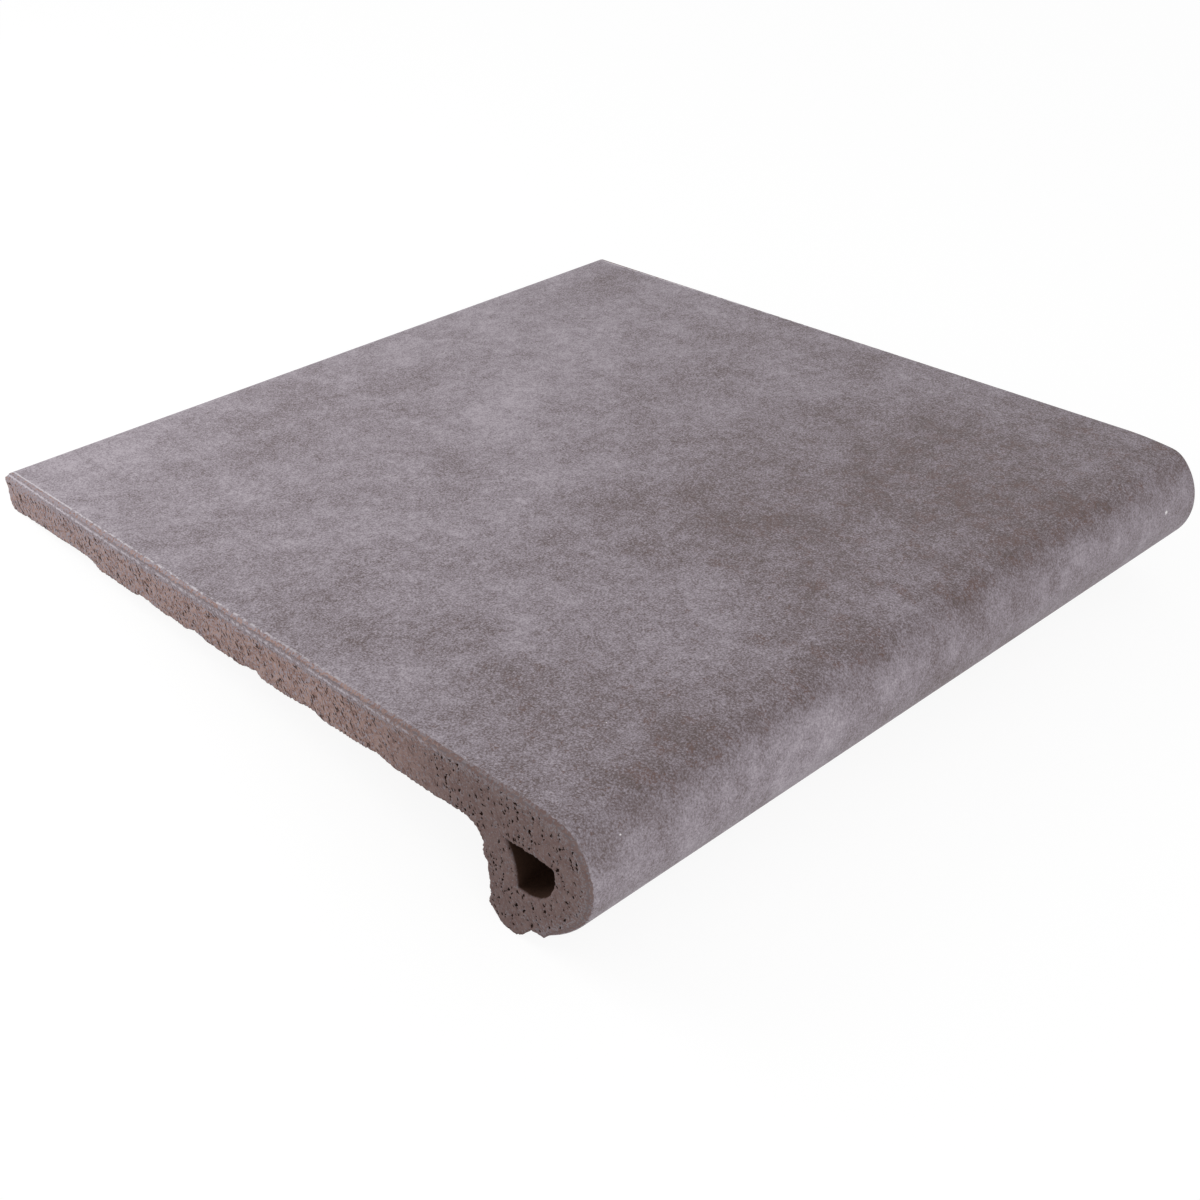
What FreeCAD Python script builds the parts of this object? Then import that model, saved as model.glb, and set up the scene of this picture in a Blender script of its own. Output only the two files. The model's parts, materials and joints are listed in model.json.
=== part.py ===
import FreeCAD, Part
import math
import os

# Stair nosing tile: one piece of extruded and fired clay. A flat tread runs forward into a
# thick bullnose, which hangs below the tread, has a hollow channel along its whole length and
# ends in a heel that hooks over the riser. All sizes are in millimetres. The section is drawn
# with the tread surface at height 0 and depths measured downwards from it, and with distances
# measured forward from the back edge.

# Overall size
step_length = 325.0
tile_depth = 330.0

# Bevel scored along the top and front of both ends, where the tiles are split apart
end_bevel = 1.7

# Tread slab: thinner along the back, a shade thicker towards the nose
back_strip_width = 60.0
back_strip_thickness = 15.3
strip_ramp = 7.0
slab_thickness_at_back = 18.3
slab_thickness_at_nose = 20.7
back_top_radius = 3.0
back_bottom_chamfer = 2.5

# Shallow grooves along the underside, for the adhesive
bond_groove_count = 5
bond_groove_depth = 1.2
bond_groove_radius = 14.0
first_groove_from_ramp = 30.0
last_groove_from_nose = 50.0

# Bullnose: a slight fall of the tread, a knuckle, the round front and a flatter underside
fall_radius = 150.0
fall_angle = 8.0
knuckle_radius = 10.0
knuckle_end_angle = 45.0
front_radius = 22.5
front_end_angle = 130.0
under_radius = 60.0
under_end_angle = 150.0

# Drip ledge between the bullnose and the heel
drip_ledge_width = 5.6
drip_ledge_fall = 0.6
drip_corner_radius = 2.0

# Heel: the lowest part of the nose, with a sloping front and a sloping back
toe_drop = 5.8
toe_front_run = 5.8
toe_radius = 0.8
heel_width = 14.6
lip_rise = 5.6
lip_radius = 0.8
heel_foot_width = 7.0
heel_rear_radius = 2.0

# Back of the nose: a ledge, a shallow key for the adhesive, and the lip under it
inside_fillet = 6.0
ledge_height = 4.2
key_depth = 2.3
key_slope = 1.5
lip_slope = 2.8
key_corner_radius = 0.5

# Hollow channel: flat roof, short front side, round floor, leaning back side
channel_roof_depth = 19.3
channel_wall_behind = 11.3
channel_width = 20.7
channel_height = 16.1
channel_front_side = 5.3
channel_floor_width = 5.3
channel_back_lean = 3.9
channel_back_bow = 1.3
channel_round_bow = 2.4


def spot(across, height):
    """A point of the section."""
    return FreeCAD.Vector(across, 0.0, height)


def on_circle(centre, radius, angle):
    """The point of a circle whose outward direction leans this many degrees forward of up."""
    turn = math.radians(angle)
    return centre + spot(radius * math.sin(turn), radius * math.cos(turn))


def round_edge(centre, radius, first_angle, last_angle):
    """An arc of the section, from one outward direction to another."""
    middle_angle = (first_angle + last_angle) / 2.0
    ends = [on_circle(centre, radius, angle) for angle in (first_angle, middle_angle, last_angle)]
    return Part.Arc(*ends).toShape()


def corner_arc(before, corner, after, radius):
    """The start, middle and end of an arc that rounds a corner between two straight runs."""
    back = (before - corner).normalize()
    ahead = (after - corner).normalize()
    half = back.getAngle(ahead) / 2.0
    reach = radius / math.tan(half)
    towards = (back + ahead).normalize()
    centre = corner + towards * (radius / math.sin(half))
    return corner + back * reach, centre - towards * radius, corner + ahead * reach


def straight_run(corners):
    """Edges through a list of (point, corner radius) pairs, with each radius above 0 rounded."""
    edges = []
    here = corners[0][0]
    for number in range(1, len(corners)):
        corner, radius = corners[number]
        if radius > 0.0:
            start, middle, end = corner_arc(corners[number - 1][0], corner, corners[number + 1][0], radius)
            edges.append(Part.makeLine(here, start))
            edges.append(Part.Arc(start, middle, end).toShape())
            here = end
        else:
            edges.append(Part.makeLine(here, corner))
            here = corner
    return edges


# Centres of the bullnose arcs, worked back from the foremost point of the tile
front_depth = (
    front_radius * math.cos(math.radians(knuckle_end_angle))
    + knuckle_radius * (math.cos(math.radians(fall_angle)) - math.cos(math.radians(knuckle_end_angle)))
    + fall_radius * (1.0 - math.cos(math.radians(fall_angle)))
)
front_centre = spot(tile_depth - front_radius, -front_depth)
knuckle_centre = on_circle(front_centre, front_radius - knuckle_radius, knuckle_end_angle)
fall_centre = on_circle(knuckle_centre, knuckle_radius - fall_radius, fall_angle)
under_centre = on_circle(front_centre, front_radius - under_radius, front_end_angle)

# Drip ledge and heel, worked back from the end of the bullnose
under_end = on_circle(under_centre, under_radius, under_end_angle)
drip_corner = under_end + spot(-drip_ledge_width, -drip_ledge_fall)
toe = drip_corner + spot(-toe_front_run, -toe_drop)
heel_rear = toe + spot(-heel_foot_width, 0.0)
lip = toe + spot(-heel_width, lip_rise)
key_bottom = lip + spot(key_depth, lip_slope)
inside_corner = spot(lip.x, -slab_thickness_at_nose)
ledge_bottom = inside_corner + spot(0.0, -(inside_fillet + ledge_height))
key_top = ledge_bottom + spot(key_depth, -key_slope)

# Underside of the slab
ramp_foot = spot(back_strip_width + strip_ramp, -slab_thickness_at_back)
ramp_head = spot(back_strip_width, -back_strip_thickness)
rear_foot = spot(back_bottom_chamfer, -back_strip_thickness)
rear_heel = spot(0.0, -back_strip_thickness + back_bottom_chamfer)

section_edges = [
    round_edge(fall_centre, fall_radius, 0.0, fall_angle),
    round_edge(knuckle_centre, knuckle_radius, fall_angle, knuckle_end_angle),
    round_edge(front_centre, front_radius, knuckle_end_angle, front_end_angle),
    round_edge(under_centre, under_radius, front_end_angle, under_end_angle),
]
section_edges += straight_run([
    (under_end, 0.0),
    (drip_corner, drip_corner_radius),
    (toe, toe_radius),
    (heel_rear, heel_rear_radius),
    (lip, lip_radius),
    (key_bottom, key_corner_radius),
    (key_top, key_corner_radius),
    (ledge_bottom, key_corner_radius),
    (inside_corner, inside_fillet),
    (ramp_foot, 0.0),
    (ramp_head, 0.0),
    (rear_foot, 0.0),
    (rear_heel, 0.0),
    (spot(0.0, 0.0), back_top_radius),
    (on_circle(fall_centre, fall_radius, 0.0), 0.0),
])
along_step = FreeCAD.Vector(0.0, step_length, 0.0)
tile = Part.Face(Part.Wire(section_edges)).extrude(along_step)

# Bonding grooves, cut by large cylinders that dip into the underside
underside_run = inside_corner - ramp_foot
first_share = first_groove_from_ramp / underside_run.x
last_share = 1.0 - last_groove_from_nose / underside_run.x
for number in range(bond_groove_count):
    share = first_share + (last_share - first_share) * number / (bond_groove_count - 1)
    groove_centre = ramp_foot + underside_run * share + spot(0.0, bond_groove_depth - bond_groove_radius)
    tile = tile.cut(Part.makeCylinder(bond_groove_radius, step_length, groove_centre, along_step))

# Hollow channel, placed from the back of the nose and the tread
roof_rear = spot(inside_corner.x + channel_wall_behind, -channel_roof_depth)
roof_front = roof_rear + spot(channel_width, 0.0)
side_foot = roof_front + spot(0.0, -channel_front_side)
floor_rear = roof_rear + spot(channel_back_lean, -channel_height)
floor_front = floor_rear + spot(channel_floor_width, 0.0)


def bowed_edge(start, end, bow):
    """A side of the channel, whose middle bows this far out of it, or into it below 0."""
    run = end - start
    outwards = spot(-run.z, run.x).normalize()
    return Part.Arc(start, (start + end) / 2.0 + outwards * bow, end).toShape()


channel_edges = [
    Part.makeLine(roof_rear, roof_front),
    Part.makeLine(roof_front, side_foot),
    bowed_edge(side_foot, floor_front, channel_round_bow),
    Part.makeLine(floor_front, floor_rear),
    bowed_edge(floor_rear, roof_rear, -channel_back_bow),
]
tile = tile.cut(Part.Face(Part.Wire(channel_edges)).extrude(along_step))


def on_shown_skin(edge):
    """Whether an edge of the tile's ends lies on the tread or on the round front."""
    middle = edge.valueAt((edge.FirstParameter + edge.LastParameter) / 2.0)
    at_end = min(middle.y, step_length - middle.y) < 0.001 and abs(edge.BoundBox.YLength) < 0.001
    on_tread = middle.z > -0.001
    on_front = abs(spot(middle.x, middle.z).distanceToPoint(front_centre) - front_radius) < 0.001
    return at_end and (on_tread or on_front)


# Bevels at both ends, along the tread and the front of the nose
tile = tile.makeChamfer(end_bevel, [edge for edge in tile.Edges if on_shown_skin(edge)])

# The tile rests on the rear of its heel and on the foot of its back edge, so it lies nose up
heel_turn = math.pi - (toe - heel_rear).getAngle(lip - heel_rear)
heel_centre = heel_rear + spot(heel_rear_radius * math.tan(heel_turn / 2.0), heel_rear_radius)
to_heel = heel_centre - rear_foot
rest_slope = math.atan2(to_heel.z, to_heel.x) - math.asin(heel_rear_radius / to_heel.Length)
tile.rotate(spot(0.0, 0.0), FreeCAD.Vector(0.0, 1.0, 0.0), math.degrees(rest_slope))
box = tile.BoundBox
tile.translate(FreeCAD.Vector(-box.Center.x, -box.Center.y, -box.ZMin))

os.makedirs("parts", exist_ok=True)
tile.exportStep("parts/stair_nosing_tile.step")
print("rest slope", round(-math.degrees(rest_slope), 2), "degrees, nose up")
print("volume", round(tile.Volume / 1000.0, 1), "cubic centimetres")
print("box", tile.BoundBox)
print(tile.isValid(), tile.ShapeType, len(tile.Faces))
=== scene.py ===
import json
import math
import random

import bpy
import numpy as np
from mathutils import Matrix, Vector, geometry, kdtree, noise


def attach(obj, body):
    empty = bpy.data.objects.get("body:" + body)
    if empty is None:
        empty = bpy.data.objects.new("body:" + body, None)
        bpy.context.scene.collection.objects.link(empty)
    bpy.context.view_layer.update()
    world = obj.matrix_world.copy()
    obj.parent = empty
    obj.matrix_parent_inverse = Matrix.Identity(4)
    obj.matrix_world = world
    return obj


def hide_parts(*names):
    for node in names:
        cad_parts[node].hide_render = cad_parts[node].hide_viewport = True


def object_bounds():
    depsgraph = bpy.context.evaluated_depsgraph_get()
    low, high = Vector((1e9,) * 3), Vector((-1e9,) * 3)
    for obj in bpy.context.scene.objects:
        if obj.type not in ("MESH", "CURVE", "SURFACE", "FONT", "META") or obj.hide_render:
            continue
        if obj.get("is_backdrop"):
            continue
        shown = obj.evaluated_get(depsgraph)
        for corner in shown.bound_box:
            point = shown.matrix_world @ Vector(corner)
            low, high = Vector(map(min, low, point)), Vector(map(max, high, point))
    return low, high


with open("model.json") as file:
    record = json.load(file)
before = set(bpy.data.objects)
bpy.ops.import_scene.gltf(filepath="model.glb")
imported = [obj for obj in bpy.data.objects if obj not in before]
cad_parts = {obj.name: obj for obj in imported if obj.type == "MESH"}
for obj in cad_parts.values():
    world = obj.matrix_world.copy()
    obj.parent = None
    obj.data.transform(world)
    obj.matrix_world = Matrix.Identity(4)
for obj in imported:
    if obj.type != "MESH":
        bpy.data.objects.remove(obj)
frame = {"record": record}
cad_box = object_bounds()

# The section that the die gives the clay: a flat tread that falls into a round nose, a drip
# ledge and a heel under it, and a thinner strip along the back. It is drawn in millimetres,
# forward from the back edge and up from the tread.
tile_depth = 330.0
# Each arc of the nose: its radius, and how far forward of up it ends
nose_arcs = [(150.0, 8.0), (10.0, 45.0), (22.5, 130.0), (60.0, 150.0)]
# Each corner from the nose to the key behind it: across, up and corner radius
heel_steps = [(-5.6, -0.6, 2.0), (-5.8, -5.8, 0.8), (-7.0, 0.0, 2.0), (-7.6, 5.6, 0.8), (2.3, 2.8, 0.5)]
ledge_below_tread, key_slope, key_round = 30.9, 1.5, 0.5
inside_fillet = 6.0
slab_at_nose, slab_at_back = 20.7, 18.3
strip_width, strip_ramp, strip_thickness = 60.0, 7.0, 15.3
back_chamfer, back_round = 2.5, 3.0
groove_count, groove_depth, groove_radius = 5, 1.2, 14.0
first_groove_from_ramp, last_groove_from_nose = 30.0, 50.0
shown_spacing, raw_spacing = 1.5, 0.6
skin_wear = 0.02


def leaning(degrees):
    """A direction of the section, this far forward of straight up."""
    return Vector((math.sin(math.radians(degrees)), math.cos(math.radians(degrees))))


def even_points(start, end, spacing):
    """Points from the first to the second, with the first and without the second."""
    count = max(1, round((end - start).length / spacing))
    return [start.lerp(end, number / count) for number in range(count)]


def arc_points(centre, start, end, spacing):
    """Points on the arc from start to end, without the end, the short way round."""
    turn = (start - centre).angle_signed(end - centre)
    count = max(3, round(abs(turn) * (start - centre).length / spacing))
    spoke = start - centre
    return [centre + Matrix.Rotation(-turn * number / count, 2) @ spoke for number in range(count)]


def rounded_run(corners, spacing):
    """Points along straight runs, given as (corner, its radius), without the last corner."""
    points = []
    here = corners[0][0]
    for before, (corner, radius), after in zip(corners, corners[1:], corners[2:]):
        if radius == 0.0:
            points += even_points(here, corner, spacing)
            here = corner
            continue
        back = (before[0] - corner).normalized()
        ahead = (after[0] - corner).normalized()
        half = back.angle(ahead) / 2.0
        reach = radius / math.tan(half)
        centre = corner + (back + ahead).normalized() * radius / math.sin(half)
        points += even_points(here, corner + back * reach, spacing)
        points += arc_points(centre, corner + back * reach, corner + ahead * reach, spacing)
        here = corner + ahead * reach
    return points + even_points(here, corners[-1][0], spacing)


def inward(ring):
    """Unit vectors square to a closed line that runs clockwise, towards its inside."""
    along = np.roll(ring, -1, axis=0) - np.roll(ring, 1, axis=0)
    square = np.column_stack([along[:, 1], -along[:, 0]])
    return square / np.linalg.norm(square, axis=1)[:, None]


nose = [Vector((0.0, 0.0))]
angle = 0.0
for radius, until in nose_arcs:
    centre = nose[-1] - radius * leaning(angle)
    count = max(6, round(radius * math.radians(until - angle) / raw_spacing))
    turns = [angle + (until - angle) * (step + 1) / count for step in range(count)]
    nose += [centre + radius * leaning(turn) for turn in turns]
    angle = until
nose_start = tile_depth - max(point.x for point in nose)
nose = [point + Vector((nose_start, 0.0)) for point in nose]

corners = [(nose[-1], 0.0)]
for across, up, radius in heel_steps:
    corners.append((corners[-1][0] + Vector((across, up)), radius))
back_of_nose = corners[4][0].x
inside_corner = Vector((back_of_nose, -slab_at_nose))
ramp_foot = Vector((strip_width + strip_ramp, -slab_at_back))
corners += [
    (Vector((corners[5][0].x, -ledge_below_tread - key_slope)), key_round),
    (Vector((back_of_nose, -ledge_below_tread)), key_round),
    (inside_corner, inside_fillet),
    (ramp_foot, 0.0),
    (Vector((strip_width, -strip_thickness)), 0.0),
    (Vector((back_chamfer, -strip_thickness)), 0.0),
    (Vector((0.0, back_chamfer - strip_thickness)), 0.0),
]
raw_side = rounded_run(corners, raw_spacing)
shown_side = rounded_run([corners[-1], (Vector((0.0, 0.0)), back_round), (nose[0], 0.0)], shown_spacing)
shown_side += nose

underside_run = inside_corner - ramp_foot
slope = underside_run.y / underside_run.x
groove_run = underside_run.x - first_groove_from_ramp - last_groove_from_nose
for number in range(groove_count):
    middle = ramp_foot.x + first_groove_from_ramp + groove_run * number / (groove_count - 1)
    cutter_height = ramp_foot.y + slope * (middle - ramp_foot.x) + groove_depth - groove_radius
    for point in raw_side:
        if abs(point.x - middle) < groove_radius:
            reach = math.sqrt(groove_radius**2 - (point.x - middle) ** 2)
            point.y = max(point.y, cutter_height + reach)
outline = np.array(shown_side[:-1] + raw_side)
outline += inward(outline) * skin_wear

# The hollow channel through the nose, which keeps the thick clay from cracking in the kiln: a
# flat roof, a short front side, a round floor and a back side that leans in.
channel_roof_depth, channel_wall_behind = 19.3, 11.3
channel_width, channel_height = 20.7, 16.1
channel_front_side, channel_floor_width, channel_back_lean = 5.3, 5.3, 3.9
channel_back_bow, channel_round_bow = -1.3, 2.4
channel_spacing = 0.55


def bowed_points(start, end, bow):
    """Points from start to end, along a line whose middle bows out by this much."""
    points = even_points(start, end, channel_spacing)
    outwards = Vector((end.y - start.y, start.x - end.x)).normalized() * -bow
    share = [number / len(points) for number in range(len(points))]
    return [point + outwards * 4.0 * part * (1.0 - part) for point, part in zip(points, share)]


roof_rear = Vector((back_of_nose + channel_wall_behind, -channel_roof_depth))
roof_front = roof_rear + Vector((channel_width, 0.0))
side_foot = roof_front - Vector((0.0, channel_front_side))
floor_rear = roof_rear + Vector((channel_back_lean, -channel_height))
floor_front = floor_rear + Vector((channel_floor_width, 0.0))
channel = np.array(
    even_points(roof_rear, roof_front, channel_spacing)
    + even_points(roof_front, side_foot, channel_spacing)
    + bowed_points(side_foot, floor_front, channel_round_bow)
    + even_points(floor_front, floor_rear, channel_spacing)
    + bowed_points(floor_rear, roof_rear, channel_back_bow)
)

# The two split ends. The tiles are scored with a bevel along the tread and the nose, fired, and
# then broken apart, so below the score the clay is torn: granular, full of small pores, and
# ragged along its lower edges.
end_bevel = 1.7
bevel_run_out = 4.0
back_face = 9.8
glazed_back = 6.0
glaze_beyond_reach = -40.0
net_height = 56.0
grain_spacing = 0.8
torn_edge_depth, torn_edge_fade, torn_edge_start = 0.6, 3.6, 0.28
mouth_chipping, mouth_fade = 0.5, 2.0
# How many chains of pores, from where to where, and their least and largest radius
pore_groups = {"nose": (430, 262.0, 330.0, 0.21, 0.54), "slab": (190, 4.0, 262.0, 0.16, 0.38)}
longest_pore_chain = 5
pore_depth = 3.2
pore_ring = 6


def steps_along(ring):
    """How far along a closed line each of its points lies from the first one."""
    length = np.linalg.norm(np.roll(ring, -1, axis=0) - ring, axis=1)
    return np.concatenate([[0.0], np.cumsum(length)[:-1]])


def evened(ring, times):
    """A closed line with its corners worn down."""
    for _ in range(times):
        ring = (np.roll(ring, 1, axis=0) + 2.0 * ring + np.roll(ring, -1, axis=0)) / 4.0
    return ring


def eased(value, low, high):
    """0 below low, 1 above high, and a smooth rise between them."""
    share = np.clip((value - low) / (high - low), 0.0, 1.0)
    return share * share * (3.0 - 2.0 * share)


def wander(places, size, seed):
    """Smooth noise from -1 to 1 along a line, with bumps of about this size."""
    return np.array([noise.noise(Vector((place / size, seed, 0.37))) for place in places])


def inside(ring, points):
    """Which points lie inside a closed line."""
    x1, z1 = ring.T
    x2, z2 = np.roll(ring, -1, axis=0).T
    lean = (x2 - x1) / np.where(z2 == z1, 1.0, z2 - z1)
    found = []
    for some in np.array_split(points, len(points) // 400 + 1):
        x, z = some[:, :1], some[:, 1:]
        crosses = ((z1 > z) != (z2 > z)) & (x < x1 + (z - z1) * lean)
        found.append(crosses.sum(axis=1) % 2 == 1)
    return np.concatenate(found)


def tree_of(points):
    """A search tree of points in the section."""
    made = kdtree.KDTree(len(points))
    for number, (x, z) in enumerate(points):
        made.insert((x, z, 0.0), number)
    made.balance()
    return made


def pore_chains(draw):
    """Small holes in short chains that run down the clay: across, up, radius and height."""
    for chains, low, high, least, most in pore_groups.values():
        for _ in range(chains):
            x, z = draw.uniform(low, high), draw.uniform(-net_height, -1.0)
            for _ in range(draw.choice((1, 1, 1, 2, 2, 3, longest_pore_chain))):
                radius = least + (most - least) * draw.random() ** 1.6
                tall = draw.uniform(1.0, 1.8)
                yield x, z, radius, tall
                x += draw.uniform(-0.45, 0.45)
                z -= radius * (1.0 + tall) + draw.uniform(0.05, 0.3)


places = steps_along(outline)
nose_end = places[len(shown_side) - 1]
torn = eased(np.maximum(places - nose_end, back_face - places), 0.0, 5.0)
glaze_reach = np.minimum(places - glazed_back, nose_end - places)


def broken_end(seed):
    """One split end as a flat net: its points, its triangles, and what each point carries."""
    draw = random.Random(seed)
    notches = wander(places, 9.0, seed) + 0.5 * wander(places, 3.7, seed + 5.0)
    ragged = torn_edge_depth * np.maximum(0.0, notches)
    ragged += 0.5 * np.abs(wander(places, 1.9, seed + 9.0)) + np.abs(wander(places, 0.8, seed + 12.0))
    ragged = np.maximum(0.0, ragged - torn_edge_start)
    at_back = eased(places, back_face, back_face + 5.0)
    bevel = end_bevel * np.minimum(at_back, eased(nose_end - places, 0.0, bevel_run_out))
    worn = evened(outline, 12)
    edge = outline + (worn - outline) * torn[:, None]
    edge += inward(evened(outline, 18)) * np.maximum(bevel, ragged * torn)[:, None]
    channel_places = steps_along(channel)
    chipped = 0.1 + mouth_chipping * np.abs(wander(channel_places, 2.6, seed + 2.0))
    chipped += 2.0 * mouth_chipping * np.maximum(0.0, wander(channel_places, 0.9, seed + 7.0))
    mouth = evened(channel, 2) - inward(evened(channel, 4)) * chipped[:, None]

    rim = tree_of(np.vstack([edge, mouth]))
    points = [tuple(p) for p in np.vstack([edge, mouth])]
    pits = [0.0] * len(points)
    found = list(pore_chains(draw))
    found = [pore for pore in found if rim.find((pore[0], pore[1], 0.0))[2] > pore[2] * pore[3] + 0.3]
    spots = np.array([pore[:2] for pore in found])
    pores = []
    for (x, z, radius, tall), keep in zip(found, inside(edge, spots) & ~inside(mouth, spots)):
        reach = radius * tall
        if not keep or any((x - a) ** 2 + (z - b) ** 2 < (reach + r + 0.1) ** 2 for a, b, r in pores):
            continue
        pores.append((x, z, reach))
        for size, count, share in ((1.0, pore_ring, 0.0), (0.6, pore_ring - 2, 0.8), (0.0, 1, 1.0)):
            for number in range(count):
                turn = 2.0 * math.pi * (number + 0.5 * draw.random()) / count
                out = radius * size * draw.uniform(0.75, 1.2)
                points.append((x + out * math.cos(turn), z + out * tall * math.sin(turn)))
                pits.append(share * radius * pore_depth)
    near_pore = tree_of([(x, z) for x, z, _ in pores])
    row_height = grain_spacing * math.sqrt(3.0) / 2.0
    grid = [
        (
            grain_spacing * (across + 0.5 * (row % 2) + draw.uniform(-0.2, 0.2)),
            -row_height * (row + draw.uniform(-0.2, 0.2)),
        )
        for row in range(int(net_height / row_height))
        for across in range(int(tile_depth / grain_spacing))
    ]
    kept = inside(edge, np.array(grid)) & ~inside(mouth, np.array(grid))
    grid = [p for p, keep in zip(grid, kept) if keep and rim.find((*p, 0.0))[2] > 0.5 * grain_spacing]
    grid = [p for p in grid if all(d > pores[n][2] + 0.3 for _, n, d in near_pore.find_n((*p, 0.0), 3))]
    points += grid
    pits += [0.0] * len(grid)

    loops = [(n, (n + 1) % len(edge)) for n in range(len(edge))]
    loops += [(len(edge) + n, len(edge) + (n + 1) % len(mouth)) for n in range(len(mouth))]
    net = geometry.delaunay_2d_cdt([Vector(p) for p in points], loops, [], 0, 1e-6, False)
    spots = np.array([tuple(p) for p in net[0]])
    triangles = np.array(net[2])
    middles = spots[triangles].mean(axis=1)
    triangles = triangles[inside(edge, middles) & ~inside(mouth, middles)]

    blank = np.zeros(len(spots))
    names = ("widen_x", "widen_z", "fade", "torn", "pit", "below_score", "in_channel", "glaze_reach")
    carried = {name: blank.copy() for name in names}
    on_edge, on_mouth = slice(0, len(edge)), slice(len(edge), len(edge) + len(mouth))
    carried["widen_x"][on_edge], carried["widen_z"][on_edge] = (outline - edge).T
    carried["widen_x"][on_mouth], carried["widen_z"][on_mouth] = (channel - mouth).T
    fade = torn_edge_fade * (1.0 + 0.6 * wander(places, 7.0, seed + 4.0))
    carried["fade"][:] = torn_edge_fade
    carried["fade"][on_edge] = end_bevel + (fade - end_bevel) * torn
    carried["fade"][on_mouth] = mouth_fade
    carried["torn"][:] = 1.0
    carried["torn"][on_edge] = torn
    carried["pit"][: len(pits)] = pits
    shown = edge[(places > back_face + 1.5) & (places < nose_end)]
    shown_rim = tree_of(np.vstack([shown, (shown[:-1] + shown[1:]) / 2.0]))
    carried["below_score"][:] = [shown_rim.find((x, z, 0.0))[2] for x, z in spots]
    carried["in_channel"][on_mouth] = 1.0
    carried["glaze_reach"][:] = glaze_beyond_reach
    carried["glaze_reach"][on_edge] = np.maximum(glaze_reach, glaze_beyond_reach)
    print("split end:", len(triangles), "triangles,", len(pores), "pores")
    return spots, triangles, carried


half_length = (cad_box[1].y - cad_box[0].y) * 500.0 - skin_wear
net_points, net_faces, net_carried, net_inward = [], [], {}, []
for side, seed in ((1.0, 3), (-1.0, 8)):
    spots, triangles, carried = broken_end(seed)
    along, across = (spots[triangles[:, n]] - spots[triangles[:, 0]] for n in (1, 2))
    turned = (along[:, 0] * across[:, 1] - along[:, 1] * across[:, 0]) * side < 0.0
    triangles[turned] = triangles[turned][:, ::-1]
    net_faces += (triangles + len(net_points)).tolist()
    net_points += [(x, -side * half_length, z) for x, z in spots]
    net_inward += [side] * len(spots)
    for name, values in carried.items():
        net_carried.setdefault(name, []).extend(values)
net_carried["inward"] = net_inward
net = bpy.data.meshes.new("fired_tile")
net.from_pydata(net_points, [], net_faces)
for name, values in net_carried.items():
    kept = net.attributes.new(name, "FLOAT", "POINT")
    kept.data.foreach_set("value", np.array(values, np.float32))
tile = bpy.data.objects.new("fired_tile", net)
bpy.context.scene.collection.objects.link(tile)

# The body of the tile. A column of clay is pushed out of the die, so every row of the skin is
# the section again; towards each end it follows the bevel and the torn edge. The rows come from
# Geometry Nodes, and the tile is then laid down as it rests, on its heel and its back edge.
rows, bevel_rows, row_growth = 20, 4, 2.6
relief_reach, relief_start = 8.0, 0.97
bed = next(m["axis"] for m in frame["record"]["mounts"] if m["name"] == "back_bed")
rest_slope = math.atan2(bed[0], -bed[2])
lie = Matrix.Rotation(-rest_slope, 3, "Y")
lying = [lie @ Vector((x, 0.0, z)) for x, z in outline]
rest_place = Vector((
    (cad_box[0].x + cad_box[1].x) * 500.0 - (max(p.x for p in lying) + min(p.x for p in lying)) / 2.0,
    0.0,
    cad_box[0].z * 1000.0 - min(p.z for p in lying),
))


def add_node(tree, kind, inputs=None, **settings):
    """A node with its settings. Inputs gives each socket, by name or number, a value or a link."""
    made = tree.nodes.new(kind)
    for name, value in settings.items():
        setattr(made, name, value)
    for key, value in (inputs or {}).items():
        if isinstance(value, bpy.types.NodeSocket):
            tree.links.new(value, made.inputs[key])
        else:
            made.inputs[key].default_value = value
    return made


def calc(tree, operation, *values):
    """The result of a Math node."""
    return add_node(tree, "ShaderNodeMath", dict(enumerate(values)), operation=operation).outputs[0]


def noise_of(tree, place, size, detail=2.0, roughness=0.5, seed=0.0):
    """Soft noise around 0.5, with spots of about this size in the units of place."""
    elsewhere = {0: place, 1: (131.7 * seed, 217.3 * seed, 353.9 * seed)}
    place = add_node(tree, "ShaderNodeVectorMath", elsewhere, operation="ADD").outputs[0]
    sockets = {"Vector": place, "Scale": 1.0 / size, "Detail": detail, "Roughness": roughness}
    return add_node(tree, "ShaderNodeTexNoise", sockets).outputs[0]


press = bpy.data.node_groups.new("press_and_split", "GeometryNodeTree")
inputs = {
    "Half length": half_length,
    "Bevel": end_bevel,
    "Bevel rows": float(bevel_rows),
    "Rows": rows,
    "Row growth": row_growth,
    "Split depth": 1.0,
    "Relief reach": relief_reach,
    "Rest turn": Vector((0.0, -rest_slope, 0.0)),
    "Rest place": rest_place / 1000.0,
    "Finish": None,
}
kinds = {float: "Float", int: "Int", Vector: "Vector", type(None): "Material"}
press.interface.new_socket(name="Geometry", in_out="INPUT", socket_type="NodeSocketGeometry")
press.interface.new_socket(name="Geometry", in_out="OUTPUT", socket_type="NodeSocketGeometry")
sockets = {}
for name, value in inputs.items():
    kind = "NodeSocket" + kinds[type(value)]
    sockets[name] = press.interface.new_socket(name=name, in_out="INPUT", socket_type=kind).identifier
given = add_node(press, "NodeGroupInput").outputs


def carried_value(name, kind="FLOAT"):
    """What the points or edges of the net carry under a name."""
    named = add_node(press, "GeometryNodeInputNamedAttribute", {"Name": name}, data_type=kind)
    return named.outputs["Attribute"]


def keep_value(mesh, name, value, kind="FLOAT", domain="POINT", where=True):
    """The mesh with a value kept on it under a name."""
    sockets = {"Geometry": mesh, "Selection": where, "Name": name, "Value": value}
    kept = add_node(press, "GeometryNodeStoreNamedAttribute", sockets, data_type=kind, domain=domain)
    return kept.outputs[0]


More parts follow.
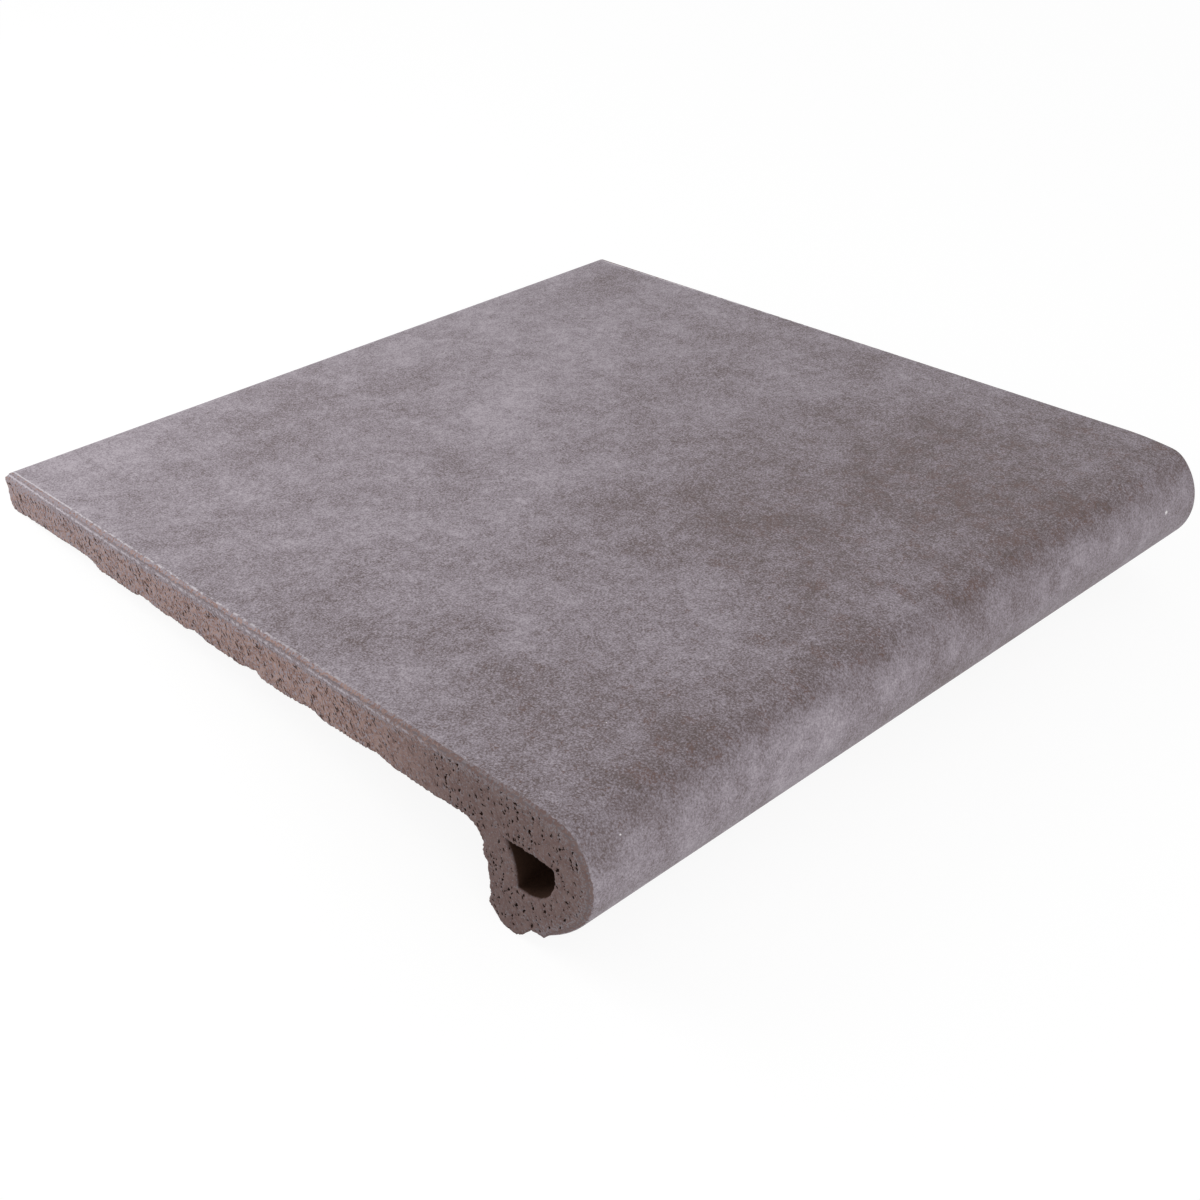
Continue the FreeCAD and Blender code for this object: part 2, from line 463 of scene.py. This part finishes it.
spot = add_node(press, "GeometryNodeInputPosition").outputs[0]
lumps = noise_of(press, spot, 15.0, 1.0, 0.5, 2.0)
crumbs = noise_of(press, spot, 3.6, 1.0, 0.5, 4.0)
grains = noise_of(press, spot, 1.6, 1.0, 0.5, 7.0)
roughness = calc(press, "MULTIPLY_ADD", crumbs, 0.5, calc(press, "MULTIPLY", grains, 0.55))
roughness = calc(press, "MULTIPLY_ADD", lumps, 1.2, roughness)
roughness = calc(press, "MAXIMUM", calc(press, "SUBTRACT", roughness, relief_start), 0.0)
near_score = calc(press, "MULTIPLY_ADD", carried_value("below_score"), 0.3, 0.1)
near_score = calc(press, "MINIMUM", near_score, 1.0)
relief = calc(press, "MULTIPLY", calc(press, "MULTIPLY", roughness, near_score), given["Split depth"])
mesh = keep_value(given["Geometry"], "relief", relief)
neighbours = {2: add_node(press, "GeometryNodeInputMeshEdgeNeighbors").outputs[0], 3: 1}
open_edge = add_node(press, "FunctionNodeCompare", neighbours, data_type="INT", operation="EQUAL")
mesh = keep_value(mesh, "last_row", open_edge.outputs[0], "BOOLEAN", "EDGE")
mesh = keep_value(mesh, "row", 0.0)

again = add_node(press, "GeometryNodeRepeatInput")
done = add_node(press, "GeometryNodeRepeatOutput")
again.pair_with_output(done)
done.repeat_items.new("FLOAT", "Row")
press.links.new(given["Rows"], again.inputs["Iterations"])
press.links.new(mesh, again.inputs["Geometry"])
again.inputs["Row"].default_value = 0.0
next_row = calc(press, "ADD", again.outputs["Row"], 1.0)
push = add_node(press, "ShaderNodeCombineXYZ", {1: carried_value("inward")}).outputs[0]
last_row = carried_value("last_row", "BOOLEAN")
pushed = {"Mesh": again.outputs["Geometry"], "Selection": last_row, "Offset": push}
pushed = add_node(press, "GeometryNodeExtrudeMesh", pushed, mode="EDGES")
mesh = keep_value(pushed.outputs["Mesh"], "row", next_row, where=pushed.outputs["Top"])
mesh = keep_value(mesh, "last_row", pushed.outputs["Top"], "BOOLEAN", "EDGE")
press.links.new(mesh, done.inputs["Geometry"])
press.links.new(next_row, done.inputs["Row"])
mesh = done.outputs["Geometry"]

row = carried_value("row")
bevel_share = calc(press, "MINIMUM", calc(press, "DIVIDE", row, given["Bevel rows"]), 1.0)
past_bevel = calc(press, "MAXIMUM", calc(press, "SUBTRACT", row, given["Bevel rows"]), 0.0)
rows_left = calc(press, "SUBTRACT", given["Rows"], given["Bevel rows"])
stretch = calc(press, "POWER", calc(press, "DIVIDE", past_bevel, rows_left), given["Row growth"])
plain_run = calc(press, "SUBTRACT", given["Half length"], given["Bevel"])
past_bevel = calc(press, "MULTIPLY", stretch, plain_run)
in_from_end = calc(press, "MULTIPLY_ADD", bevel_share, given["Bevel"], past_bevel)
ease = calc(press, "MINIMUM", calc(press, "DIVIDE", in_from_end, carried_value("fade")), 1.0)
bend = calc(press, "SUBTRACT", ease, calc(press, "MULTIPLY", ease, ease))
share = calc(press, "MULTIPLY_ADD", bend, carried_value("torn"), ease)
relief_gone = calc(press, "MINIMUM", calc(press, "DIVIDE", in_from_end, given["Relief reach"]), 1.0)
relief_left = calc(press, "SUBTRACT", 1.0, relief_gone)
sunk = calc(press, "MULTIPLY_ADD", carried_value("relief"), relief_left, carried_value("pit"))
depth_in = calc(press, "SUBTRACT", calc(press, "ADD", in_from_end, sunk), given["Half length"])
apart = add_node(press, "ShaderNodeSeparateXYZ", {0: spot}).outputs
moved = add_node(press, "ShaderNodeCombineXYZ", {
    0: calc(press, "MULTIPLY_ADD", carried_value("widen_x"), share, apart[0]),
    1: calc(press, "MULTIPLY", depth_in, carried_value("inward")),
    2: calc(press, "MULTIPLY_ADD", carried_value("widen_z"), share, apart[2]),
}).outputs[0]
mesh = add_node(press, "GeometryNodeSetPosition", {"Geometry": mesh, "Position": moved}).outputs[0]
mesh = add_node(press, "GeometryNodeMergeByDistance", {"Geometry": mesh, "Distance": 0.01}).outputs[0]
mesh = add_node(press, "GeometryNodeSetShadeSmooth", {"Geometry": mesh}).outputs[0]
laid = {"Geometry": mesh, "Translation": given["Rest place"], "Rotation": given["Rest turn"]}
laid["Scale"] = (0.001, 0.001, 0.001)
mesh = add_node(press, "GeometryNodeTransform", laid).outputs[0]
mesh = add_node(press, "GeometryNodeRealizeInstances", {"Geometry": mesh}).outputs[0]
fired = {"Geometry": mesh, "Material": given["Finish"]}
mesh = add_node(press, "GeometryNodeSetMaterial", fired).outputs[0]
add_node(press, "NodeGroupOutput", {"Geometry": mesh})

# The finish: a matt stoneware glaze, sprayed on before the firing. It lies in soft grey clouds
# over a brown body, is painted darker along the knuckle of the nose as painted shade, carries a
# painted highlight along its edge at the score, and leaves the split ends, the underside and the
# channel as bare pinkish clay, with painted shade in the channel and in the pores.
glaze_colours = [
    (90, 76, 73), (108, 94, 95), (126, 114, 119), (143, 133, 140), (162, 152, 160), (182, 172, 180),
]
glaze_level, wisp_strength, cloud_drift = 0.62, 1.65, 30.0
# Each cloud: forward, along the step, its reach, and how much paler or darker it is
glaze_clouds = [
    (262.0, 48.0, 78.0, -0.19), (215.0, -5.0, 30.0, -0.09), (240.0, -24.0, 26.0, -0.08),
    (285.0, -17.0, 20.0, -0.07), (262.0, 118.0, 52.0, -0.07), (150.0, 118.0, 62.0, -0.08),
    (118.0, 146.0, 22.0, -0.06), (26.0, 142.0, 22.0, -0.09), (230.0, 84.0, 12.0, -0.07),
    (246.0, 62.0, 13.0, -0.08), (262.0, 42.0, 12.0, -0.08), (240.0, 10.0, 10.0, -0.05),
    (287.0, -11.0, 6.0, -0.10), (295.0, -46.0, 9.0, -0.09), (221.0, -119.0, 14.0, -0.13),
    (202.0, -138.0, 13.0, -0.14), (262.0, -124.0, 19.0, -0.12), (270.0, -103.0, 8.0, -0.07),
    (166.0, -140.0, 16.0, -0.08), (88.0, -150.0, 11.0, -0.10), (48.0, 14.0, 8.0, -0.10),
    (53.0, -2.0, 9.0, -0.07), (78.0, -12.0, 13.0, -0.08), (36.0, -42.0, 34.0, -0.06),
    (56.0, -85.0, 13.0, -0.09), (75.0, -66.0, 5.0, -0.10), (50.0, -55.0, 5.0, -0.08),
    (120.0, -38.0, 11.0, -0.10), (158.0, 7.0, 6.0, -0.10), (168.0, -80.0, 7.0, -0.09),
    (193.0, -22.0, 16.0, -0.08), (300.0, -120.0, 26.0, -0.06), (300.0, 142.0, 18.0, -0.07),
    (312.0, -142.0, 14.0, -0.07), (140.0, -145.0, 18.0, -0.05), (202.0, -2.0, 18.0, -0.05),
    (72.0, 60.0, 36.0, 0.08), (104.0, 8.0, 30.0, 0.08), (34.0, -134.0, 34.0, 0.05),
    (145.0, -20.0, 26.0, 0.07), (235.0, -78.0, 26.0, 0.06), (280.0, -72.0, 22.0, 0.06),
    (307.0, -10.0, 10.0, 0.16), (306.0, 16.0, 9.0, 0.11), (252.0, 32.0, 7.0, 0.07),
    (225.0, -22.0, 7.0, 0.06), (258.0, -45.0, 13.0, 0.05), (252.0, 140.0, 9.0, 0.07),
    (20.0, -2.0, 20.0, 0.08), (82.0, 80.0, 16.0, 0.05), (140.0, -82.0, 18.0, 0.08),
    (140.0, 142.0, 18.0, 0.05), (318.0, -4.0, 12.0, 0.06), (138.0, 66.0, 30.0, -0.07),
    (290.0, -32.0, 14.0, -0.08), (212.0, 6.0, 16.0, -0.05), (228.0, 146.0, 12.0, -0.06),
    (318.0, 90.0, 16.0, -0.06), (190.0, -14.0, 9.0, 0.06), (124.0, -98.0, 20.0, 0.05),
]
# Each chip: forward, along the step, up, and its radius
glaze_chips = [(326.7, -147.2, -8.5, 0.34), (329.8, 140.0, -17.1, 0.9), (293.5, -119.9, 0.0, 0.3)]
# Pale colour of the specks and of the painted highlight along the score, then of the chips and the rust
pale_speck_and_highlight_colour, chip_colour, rust_colour = (206, 199, 205), (235, 230, 232), (108, 82, 76)


def linear(red, green, blue):
    """A colour as Blender keeps it, from its 0 to 255 values on a screen."""
    shares = (red / 255.0, green / 255.0, blue / 255.0)
    return tuple(v / 12.92 if v <= 0.04045 else ((v + 0.055) / 1.055) ** 2.4 for v in shares) + (1.0,)


finish = bpy.data.materials.new("glazed_clay")
finish.use_nodes = True
paint = finish.node_tree
paint.nodes.clear()


def carried_paint(name):
    """What the mesh carries under a name."""
    return add_node(paint, "ShaderNodeAttribute", attribute_name=name).outputs["Fac"]


def ranged(value, low, high, low_out=0.0, high_out=1.0):
    """A value mapped smoothly from one range to another."""
    sockets = {0: value, 1: low, 2: high, 3: low_out, 4: high_out}
    return add_node(paint, "ShaderNodeMapRange", sockets, interpolation_type="SMOOTHSTEP").outputs[0]


def ridge(value, middle, reach):
    """1 where the value is at the middle, and down to 0 this far on either side."""
    off = calc(paint, "ABSOLUTE", calc(paint, "SUBTRACT", value, middle))
    return ranged(off, 0.3 * reach, reach, 1.0, 0.0)


def product(*values):
    """All values multiplied."""
    made = values[0]
    for value in values[1:]:
        made = calc(paint, "MULTIPLY", made, value)
    return made


def blended(share, first, second):
    """A mix of two colours, each written as a colour or given as a link."""
    made = add_node(paint, "ShaderNodeMix", {0: share}, data_type="RGBA")
    for key, value in ((6, first), (7, second)):
        if isinstance(value, bpy.types.NodeSocket):
            paint.links.new(value, made.inputs[key])
        else:
            made.inputs[key].default_value = linear(*value)
    return made.outputs[2]


# Where a point lies on the tile: x forward from the back edge, y along the step, z up
local = add_node(paint, "ShaderNodeTexCoord").outputs["Object"]
mapped = {0: local, 1: rest_place / 1000.0, 2: (0.0, -rest_slope, 0.0), 3: (0.001, 0.001, 0.001)}
level = add_node(paint, "ShaderNodeMapping", mapped, vector_type="TEXTURE").outputs[0]
forward, along_step, upward = add_node(paint, "ShaderNodeSeparateXYZ", {0: level}).outputs
from_end = calc(paint, "SUBTRACT", half_length, calc(paint, "ABSOLUTE", along_step))
below_score = carried_paint("below_score")

# Glaze: clouds that run into each other, a fine grain that is strongest where the glaze is thin
drift = add_node(paint, "ShaderNodeTexNoise", {"Vector": level, "Scale": 1.0 / 18.0, "Detail": 4.0})
drifting = {0: drift.outputs["Color"], 1: (cloud_drift, cloud_drift, 0.0), 2: level}
drifted = add_node(paint, "ShaderNodeVectorMath", drifting, operation="MULTIPLY_ADD").outputs[0]
# Painted light: the glaze is painted lighter at the back and darker towards the nose, as the light falls
# off from the left
tone = ranged(forward, 0.0, 330.0, glaze_level + 0.07, glaze_level - 0.07)
# A lighter band along the back edge: partly paler glaze, partly a painted highlight
tone = calc(paint, "ADD", tone, ranged(forward, 0.0, 24.0, 0.07, 0.0))
for x, y, reach, strength in glaze_clouds:
    middle = {0: drifted, 1: (x + cloud_drift / 2.0, y + cloud_drift / 2.0, 0.0)}
    away = add_node(paint, "ShaderNodeVectorMath", middle, operation="DISTANCE").outputs["Value"]
    tone = calc(paint, "ADD", tone, ranged(away, 0.3 * reach, 1.5 * reach, strength, 0.0))
wisps = calc(paint, "SUBTRACT", noise_of(paint, level, 34.0, 6.0, 1.0, 1.0), 0.5)
tone = calc(paint, "MULTIPLY_ADD", wisps, wisp_strength, tone)
# Painted shade: a darker band along the knuckle of the nose, for the dark that the turning glaze reflects
knuckle_shade = product(ranged(forward, 305.0, 315.0), ranged(upward, -10.0, -3.0))
knuckle_shade = product(knuckle_shade, ranged(noise_of(paint, level, 17.0, 3.0, 0.6, 4.0), 0.30, 0.56, 0.35, 1.0))
tone = calc(paint, "MULTIPLY_ADD", knuckle_shade, -0.16, tone)
# Painted light: the front face of the nose is painted lighter, as if lit from the front
tone = calc(paint, "ADD", tone, ranged(upward, -14.0, -4.0, 0.10, 0.0))
# Painted shade: the lower front face is painted darker, as if lit from above
tone = calc(paint, "ADD", tone, ranged(upward, -29.0, -18.0, -0.10, 0.0))
front_clouds = calc(paint, "SUBTRACT", noise_of(paint, level, 13.0, 1.0, 0.5, 18.0), 0.5)
tone = calc(paint, "MULTIPLY_ADD", front_clouds, ranged(upward, -10.0, -3.0, 0.45, 0.0), tone)
grain = calc(paint, "SUBTRACT", noise_of(paint, level, 0.68, 1.0, 0.8, 3.0), 0.5)
tone_of_grain = product(grain, ranged(tone, 0.35, 0.8, 1.95, 1.3), ranged(upward, -6.0, 0.0, 0.7, 1.0))
drawn_out = {0: forward, 1: calc(paint, "MULTIPLY", along_step, 0.7), 2: upward}
drawn_out = add_node(paint, "ShaderNodeCombineXYZ", drawn_out).outputs[0]
mottle = calc(paint, "SUBTRACT", noise_of(paint, drawn_out, 2.2, 3.0, 0.7, 17.0), 0.5)
mottle = product(mottle, ranged(forward, 20.0, 140.0, 0.22, 0.42), ranged(upward, -6.0, -1.0, 0.2, 1.0))
tone_of_grain = calc(paint, "ADD", tone_of_grain, mottle)
specks = product(
    ranged(noise_of(paint, level, 1.7, 1.0, 0.6, 5.0), 0.60, 0.72),
    ranged(noise_of(paint, level, 26.0, 2.0, 0.6, 6.0), 0.40, 0.62),
)
glaze_depth = calc(paint, "MULTIPLY_ADD", specks, -0.13, calc(paint, "ADD", tone, tone_of_grain))
glaze = add_node(paint, "ShaderNodeValToRGB", {0: glaze_depth})
while len(glaze.color_ramp.elements) < len(glaze_colours):
    glaze.color_ramp.elements.new(0.5)
for number, (stop, colour) in enumerate(zip(glaze.color_ramp.elements, glaze_colours)):
    stop.position = number / (len(glaze_colours) - 1)
    stop.color = linear(*colour)
rust = noise_of(paint, level, 7.0, 5.0, 0.8, 7.0)
rust = ranged(calc(paint, "MULTIPLY_ADD", tone, -0.35, rust), 0.405, 0.46)
rust = product(rust, ranged(forward, 150.0, 300.0, 0.0, 0.9), ranged(upward, -10.0, -4.0))
rust = product(rust, ranged(grain, -0.10, 0.04, 0.9, 0.15))
glaze_colour = blended(rust, glaze.outputs[0], rust_colour)
for x, y, z, radius in glaze_chips:
    middle = {0: level, 1: (x, y, z)}
    away = add_node(paint, "ShaderNodeVectorMath", middle, operation="DISTANCE").outputs["Value"]
    away = calc(paint, "MULTIPLY_ADD", grain, 2.2 * radius, away)
    glaze_colour = blended(ranged(away, 0.6 * radius, 1.1 * radius, 1.0, 0.0), glaze_colour, chip_colour)

# Where the score lies: above 0 on the glazed side of the bevel, below 0 on the torn face
score = calc(paint, "SUBTRACT", calc(paint, "MULTIPLY_ADD", from_end, 2.0, -end_bevel), below_score)
fray = calc(paint, "SUBTRACT", noise_of(paint, level, 1.1, 2.0, 0.6, 12.0), 0.5)
score = calc(paint, "MULTIPLY_ADD", fray, 1.6, score)
over_score = calc(paint, "SUBTRACT", score, ranged(forward, -60.0, 150.0, 3.3, 0.0))
off_thread = calc(paint, "SUBTRACT", score, ranged(forward, -20.0, 95.0, 0.6, -2.3))
fading = product(ranged(forward, 270.0, 286.0), ranged(forward, 303.0, 311.0, 1.0, 0.0))

# Bare clay: pinkish, darker in the thick nose, partly a browner fired body and partly painted
# shade where the light falls off, with grey grains, dark specks, pores painted dark as their
# shade, and a band of lilac dust from the glaze just under the score
# How far into the nose a point lies. The clay's colours darken with it, partly a browner fired body and
# partly painted shade where the light falls off
in_nose = ranged(forward, 205.0, 285.0)
clay_mottle = ranged(noise_of(paint, level, 3.6, 5.0, 0.85, 9.0), 0.42, 0.58)
pale_clay = blended(in_nose, (176, 149, 142), (128, 109, 106))
dark_clay = blended(in_nose, (149, 121, 114), (120, 99, 96))
clay_colour = blended(clay_mottle, dark_clay, pale_clay)
grey_clay = blended(in_nose, (165, 155, 162), (132, 122, 125))
grains = noise_of(paint, level, 0.9, 1.0, 0.7, 10.0)
greyer = calc(paint, "MULTIPLY_ADD", in_nose, -0.03, grains)
greyer = calc(paint, "ADD", greyer, ranged(below_score, 2.0, 6.0, 0.06, 0.0))
greyer = calc(paint, "ADD", greyer, ranged(forward, 20.0, 220.0, 0.07, 0.01))
clay_colour = blended(ranged(greyer, 0.57, 0.60), clay_colour, grey_clay)
leant = calc(paint, "MULTIPLY_ADD", upward, 0.4, forward)
leaning_up = {0: leant, 1: along_step, 2: calc(paint, "MULTIPLY", upward, 0.5)}
leaning_up = add_node(paint, "ShaderNodeCombineXYZ", leaning_up).outputs[0]
flecks = noise_of(paint, leaning_up, 0.9, 1.0, 0.7, 11.0)
flecks = product(
    ranged(flecks, 0.595, 0.62), ranged(below_score, 0.3, 1.5), ranged(in_nose, 0.0, 1.0, 1.0, 0.3),
)
clay_colour = blended(flecks, clay_colour, (82, 65, 60))
dust = calc(paint, "SUBTRACT", noise_of(paint, level, 3.0, 4.0, 0.8, 16.0), 0.5)
dust = product(
    ranged(calc(paint, "MULTIPLY_ADD", dust, 4.5, off_thread), -1.7, -1.2),
    ranged(calc(paint, "MULTIPLY_ADD", fading, -4.5, off_thread), 1.2, 1.6, 1.0, 0.0),
)
dusty = ranged(grains, 0.42, 0.56)
dark_dust = blended(in_nose, (138, 127, 131), (125, 114, 113))
pale_dust = blended(in_nose, (165, 155, 161), (136, 126, 129))
dust_cover = calc(paint, "MAXIMUM", ranged(in_nose, 0.0, 0.8, 0.92, 0.0), ranged(grains, 0.49, 0.53))
dust = product(dust, dust_cover)
clay_colour = blended(dust, clay_colour, blended(dusty, dark_dust, pale_dust))
pink = product(
    ranged(fray, 0.09, 0.11), ranged(forward, 170.0, 220.0), ranged(forward, 262.0, 300.0, 1.0, 0.2),
    ranged(off_thread, -6.0, -1.0, 0.2, 0.7),
)
clay_colour = blended(pink, clay_colour, (160, 135, 128))
dark_line = product(ridge(off_thread, 1.5, 0.7), ranged(forward, 25.0, 80.0, 0.0, 0.75), dusty)
clay_colour = blended(dark_line, clay_colour, (112, 102, 104))
# Painted shade: pinholes painted as dark spots, and the pores of the mesh painted near black, for the shade
# inside them
pinholes = add_node(paint, "ShaderNodeTexVoronoi", {"Vector": leaning_up, "Scale": 1.0 / 1.7})
chosen = add_node(paint, "ShaderNodeSeparateXYZ", {0: pinholes.outputs["Color"]}).outputs[0]
pinholes = product(
    ranged(calc(paint, "MULTIPLY_ADD", grain, 0.3, pinholes.outputs["Distance"]), 0.19, 0.21, 1.0, 0.0),
    ranged(chosen, 0.60, 0.61), ranged(in_nose, 0.0, 1.0, 0.25, 1.0), ranged(below_score, 1.5, 3.0),
)
pit = calc(paint, "MAXIMUM", ranged(carried_paint("pit"), 0.0, 0.15), pinholes)
clay_colour = blended(pit, clay_colour, (40, 25, 18))
# Painted shade: the clay inside the channel is painted dark brown near the mouth, for the shade in the
# hollow
hollow = product(ranged(carried_paint("in_channel"), 0.4, 0.9), ranged(from_end, 0.4, 1.2))
painted_channel_shade_colour = blended(ranged(from_end, 2.0, 34.0), (60, 41, 32), (122, 88, 70))
clay_colour = blended(hollow, clay_colour, painted_channel_shade_colour)

# Where the glaze ends: at the score, which runs further in at the back, and under the nose
limit = calc(paint, "SUBTRACT", noise_of(paint, level, 5.0, 3.0, 0.6, 13.0), 0.5)
over_skin = ranged(calc(paint, "MULTIPLY_ADD", limit, 6.0, carried_paint("glaze_reach")), -0.4, 0.9)
glazed = product(over_skin, ranged(over_score, 0.9, 1.4))
sparks = add_node(paint, "ShaderNodeTexVoronoi", {"Vector": level, "Scale": 1.0 / 2.6})
chosen = add_node(paint, "ShaderNodeSeparateXYZ", {0: sparks.outputs["Color"]}).outputs[0]
sparks = product(
    ranged(sparks.outputs["Distance"], 0.07, 0.12, 1.0, 0.0), ranged(chosen, 0.86, 0.87),
    ranged(forward, 30.0, 170.0, 0.9, 0.0),
)
glaze_colour = blended(sparks, glaze_colour, pale_speck_and_highlight_colour)
colour = blended(glazed, clay_colour, glaze_colour)
dashes = noise_of(paint, level, 2.3, 2.0, 0.7, 14.0)
dashes = calc(paint, "ADD", dashes, ranged(forward, 20.0, 110.0, 0.10, 0.0))
# Painted highlight: a pale broken line along the glazed edge just over the score, strongest towards the
# back
score_edge_highlight = product(
    ridge(over_score, 1.8, 1.1), ranged(dashes, 0.48, 0.53), over_skin,
    ranged(forward, 100.0, 290.0, 1.0, 0.08),
)
colour = blended(score_edge_highlight, colour, pale_speck_and_highlight_colour)
thread = calc(paint, "MAXIMUM", ridge(off_thread, 0.0, 0.65), product(ridge(over_score, 0.3, 0.7), fading))
thread = product(
    thread, ranged(dashes, 0.48, 0.52), ranged(from_end, 2.4, 1.8),
    ranged(forward, 240.0, 312.0, 0.95, 0.1),
)
colour = blended(thread, colour, blended(in_nose, (198, 190, 197), (160, 151, 157)))

# The skin: grainy and dull where the clay is bare, smoother with a faint sheen where it is glazed
fine = noise_of(paint, level, 0.7, 3.0, 0.7, 15.0)
height = calc(paint, "MULTIPLY", fine, ranged(glazed, 0.0, 1.0, 1.0, 0.22))
bump = add_node(paint, "ShaderNodeBump", {"Strength": 0.7, "Distance": 0.0004, "Height": height}).outputs[0]
skin = {"Base Color": colour, "Roughness": ranged(glazed, 0.0, 1.0, 0.95, 0.62), "Normal": bump}
skin["Specular IOR Level"] = ranged(glazed, 0.0, 1.0, 0.12, 0.5)
skin = add_node(paint, "ShaderNodeBsdfPrincipled", skin)
add_node(paint, "ShaderNodeOutputMaterial", {0: skin.outputs[0]})

pressing = tile.modifiers.new("press_and_split", "NODES")
pressing.node_group = press
for name, value in inputs.items():
    pressing[sockets[name]] = finish if value is None else value
bpy.context.view_layer.update()
pressed = bpy.data.meshes.new_from_object(tile.evaluated_get(bpy.context.evaluated_depsgraph_get()))
tile.modifiers.remove(pressing)
tile.data = pressed
pressed.name = "fired_tile"
print("tile:", len(pressed.vertices), "points,", len(pressed.polygons), "faces")
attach(tile, "root")
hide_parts("stair_nosing_tile")

# The studio floor: a plain white board that the tile rests on, which runs on into a white
# background and keeps only the tile's soft shadow.
floor_size, floor_glow, floor_glow_share = 6.0, 1.06, 0.85
floor_mesh = bpy.data.meshes.new("floor")
floor_corners = [(-0.5, -0.5, 0.0), (0.5, -0.5, 0.0), (0.5, 0.5, 0.0), (-0.5, 0.5, 0.0)]
floor_mesh.from_pydata([Vector(corner) * floor_size for corner in floor_corners], [], [(0, 1, 2, 3)])
floor = bpy.data.objects.new("floor", floor_mesh)
bpy.context.scene.collection.objects.link(floor)
floor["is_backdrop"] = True


def seen_directly(tree):
    """1 for rays from the camera, or by way of gloss or glass, and else 0."""
    rays = add_node(tree, "ShaderNodeLightPath").outputs
    told = calc(tree, "ADD", rays["Is Camera Ray"], rays["Is Glossy Ray"])
    return calc(tree, "MINIMUM", calc(tree, "ADD", told, rays["Is Transmission Ray"]), 1.0)


board = bpy.data.materials.new("white_board")
board.use_nodes = True
board.node_tree.nodes.clear()
matt = add_node(board.node_tree, "ShaderNodeBsdfDiffuse", {"Color": (0.92, 0.92, 0.92, 1.0)})
glow = {"Color": (1.0, 1.0, 1.0, 1.0), "Strength": floor_glow}
white = add_node(board.node_tree, "ShaderNodeEmission", glow)
share = calc(board.node_tree, "MULTIPLY", seen_directly(board.node_tree), floor_glow_share)
both = add_node(board.node_tree, "ShaderNodeMixShader", {0: share, 1: matt.outputs[0], 2: white.outputs[0]})
add_node(board.node_tree, "ShaderNodeOutputMaterial", {0: both.outputs[0]})
floor_mesh.materials.append(board)

# The light: an even white room, a soft lamp close to the tile's left, which makes the near back
# corner the brightest and lets the light fall off towards the nose, and a weaker one before it.
room_level = 0.56
room = bpy.data.worlds.new("white_room")
room.use_nodes = True
room.node_tree.nodes.clear()
seen = seen_directly(room.node_tree)
brightness = calc(room.node_tree, "MULTIPLY_ADD", seen, 1.0 - room_level, room_level)
backdrop = {"Color": (1.0, 1.0, 1.0, 1.0), "Strength": brightness}
backdrop = add_node(room.node_tree, "ShaderNodeBackground", backdrop)
add_node(room.node_tree, "ShaderNodeOutputWorld", {0: backdrop.outputs[0]})
bpy.context.scene.world = room
for name, power, size, place, towards in (
    ("left_lamp", 2.1, 0.5, (-0.50, -0.42, 0.42), (-0.02, -0.05, 0.03)),
    ("front_lamp", 1.5, 0.6, (0.90, -0.10, 0.30), (0.16, 0.0, 0.03)),
):
    lamp = bpy.data.objects.new(name, bpy.data.lights.new(name, "AREA"))
    lamp.data.shape = "DISK"
    lamp.data.size = size
    lamp.data.energy = power
    lamp.location = place
    lamp.rotation_mode = "QUATERNION"
    lamp.rotation_quaternion = (Vector(towards) - lamp.location).to_track_quat("-Z", "Y")
    bpy.context.scene.collection.objects.link(lamp)

# The camera, about half a metre from the near corner of the nose and looking down over it. Its
# place and axes are given on the level tile, and turn with it as it is laid down.
camera_place = Vector((608.44, -415.37, 298.85))
camera_right = Vector((0.695570, 0.717839, -0.029834))
camera_down = Vector((0.348689, -0.373597, -0.859559))
camera_ahead = Vector((-0.628171, 0.587480, -0.510165))
camera = bpy.data.objects.new("camera", bpy.data.cameras.new("camera"))
camera.data.lens = 52.54
camera.data.sensor_width = 36.0
axes = Matrix([lie @ camera_right, lie @ -camera_down, lie @ -camera_ahead]).transposed()
camera.matrix_world = Matrix.Translation((lie @ camera_place + rest_place) / 1000.0) @ axes.to_4x4()
bpy.context.scene.collection.objects.link(camera)
bpy.context.scene.camera = camera
bpy.context.scene.view_settings.view_transform = "Standard"

boxes = {"cad": cad_box, "seen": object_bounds()}
{name: [list(corner) for corner in box] for name, box in boxes.items()}
